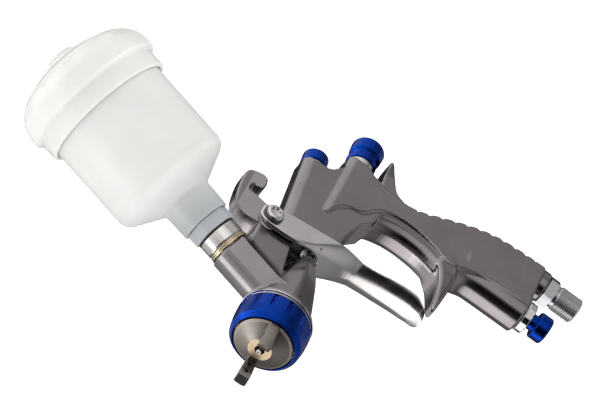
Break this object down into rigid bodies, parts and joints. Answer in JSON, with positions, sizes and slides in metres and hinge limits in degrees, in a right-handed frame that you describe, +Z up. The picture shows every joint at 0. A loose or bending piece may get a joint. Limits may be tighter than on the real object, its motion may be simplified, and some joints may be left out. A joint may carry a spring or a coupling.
{
  "type": "spray gun",
  "caption": "Gravity-feed HVLP spray gun: plated body with hook and finger spur, horned air cap, blue rings and knobs, forked trigger, lidded milky cup.",
  "frame": {"origin": "centre of the lower end face of the air inlet thread, where the air hose screws on", "axes": "+Z up, along the inlet away from the hose and towards the cup; the gun sprays towards -X; Y = 0 is the middle plane"},
  "size_m": [0.173, 0.0726, 0.279],
  "materials": {
    "body_metal": "polished dark nickel plate",
    "trigger_metal": "satin nickel plate",
    "cap_metal": "satin nickel plate",
    "bright_metal": "bright chrome",
    "blue_anodised": "bright blue anodised",
    "brass_metal": "turned, bright",
    "steel": "ground steel",
    "spring_steel": "dark spring steel",
    "black_rubber": "matt black",
    "milky_plastic": "milky translucent",
    "grey_plastic": "satin grey"
  },
  "bodies": {
    "gun": {"gun_body": "body_metal", "air_distribution_ring": "bright_metal", "fluid_nozzle": "brass_metal", "nozzle_gasket": "black_rubber", "needle_packing": "black_rubber", "needle_packing_nut": "brass_metal", "air_valve_gland": "brass_metal", "air_valve_seat": "brass_metal", "air_valve_spring": "spring_steel", "needle_spring": "spring_steel", "fluid_knob_bushing": "brass_metal", "fluid_lock_ring": "bright_metal", "fan_valve_gland": "bright_metal", "fluid_inlet_fitting": "bright_metal", "inlet_ring_lower": "brass_metal", "inlet_ring_upper": "brass_metal", "cup_gasket": "black_rubber", "air_inlet_nipple": "bright_metal", "air_adjust_body": "bright_metal", "trigger_pivot_stud": "steel", "trigger_washer_near": "spring_steel", "trigger_washer_far": "spring_steel", "trigger_screw": "bright_metal"},
    "needle": {"fluid_needle": "steel"},
    "air_valve": {"air_valve_sleeve": "steel", "air_valve_seal": "black_rubber"},
    "trigger": {"trigger": "trigger_metal"},
    "fluid_control": {"fluid_knob": "blue_anodised"},
    "fan_control": {"fan_knob": "blue_anodised", "fan_valve_stem": "steel"},
    "air_control": {"air_adjust_knob": "blue_anodised", "air_adjust_stem": "steel"},
    "cap_ring": {"air_cap_ring": "blue_anodised"},
    "air_cap": {"air_cap": "cap_metal"},
    "cup": {"cup": "milky_plastic", "cup_adapter": "grey_plastic", "cup_strainer": "grey_plastic"},
    "lid": {"cup_lid": "milky_plastic"},
    "vent": {"lid_vent_cap": "milky_plastic"}
  },
  "joints": [
    {"name": "trigger_pull", "type": "hinge", "parent": "gun", "child": "trigger", "pos_m": [-0.0862, 0, 0.1542], "axis": [0, -1, 0], "range_deg": [0, 12.5], "stiffness_Nm_per_rad": 1.2, "springref_deg": -6.88},
    {"name": "needle_slide", "type": "slide", "parent": "gun", "child": "needle", "axis": [1, 0, 0], "range_m": [0, 0.006], "deforming": ["needle_spring"]},
    {"name": "air_valve_slide", "type": "slide", "parent": "gun", "child": "air_valve", "axis": [1, 0, 0], "range_m": [0, 0.006], "deforming": ["air_valve_spring"]},
    {"name": "fluid_knob_turn", "type": "hinge", "parent": "gun", "child": "fluid_control", "pos_m": [0, 0, 0.1278], "axis": [1, 0, 0], "range_deg": [-1080, 0]},
    {"name": "fan_knob_turn", "type": "hinge", "parent": "gun", "child": "fan_control", "pos_m": [-0.075, 0, 0.1431], "axis": [0.9954, 0, 0.0958], "range_deg": [-540, 0]},
    {"name": "air_adjust_turn", "type": "hinge", "parent": "gun", "child": "air_control", "pos_m": [-0.0255, 0, 0.0178], "axis": [0, 0, -1], "range_deg": [-540, 0]},
    {"name": "cap_ring_turn", "type": "hinge", "parent": "gun", "child": "cap_ring", "pos_m": [-0.14, 0, 0.1278], "axis": [-1, 0, 0], "range_deg": [0, 1440]},
    {"name": "air_cap_turn", "type": "hinge", "parent": "gun", "child": "air_cap", "pos_m": [-0.149, 0, 0.1278], "axis": [-1, 0, 0], "range_deg": [-90, 90]},
    {"name": "cup_turn", "type": "hinge", "parent": "gun", "child": "cup", "pos_m": [-0.121, 0, 0.1278], "axis": [0.3305, 0, 0.9438], "range_deg": [0, 1080]},
    {"name": "lid_lift", "type": "slide", "parent": "cup", "child": "lid", "axis": [0.3305, 0, 0.9438], "range_m": [0, 0.03]},
    {"name": "vent_turn", "type": "hinge", "parent": "lid", "child": "vent", "pos_m": [-0.121, 0, 0.1278], "axis": [0.3305, 0, 0.9438], "range_deg": [0, 90]}
  ],
  "couplings": [
    {"joint": "needle_slide", "follows": "trigger_pull", "m_per_rad": 0.0264},
    {"joint": "air_valve_slide", "follows": "trigger_pull", "m_per_rad": 0.0264}
  ]
}
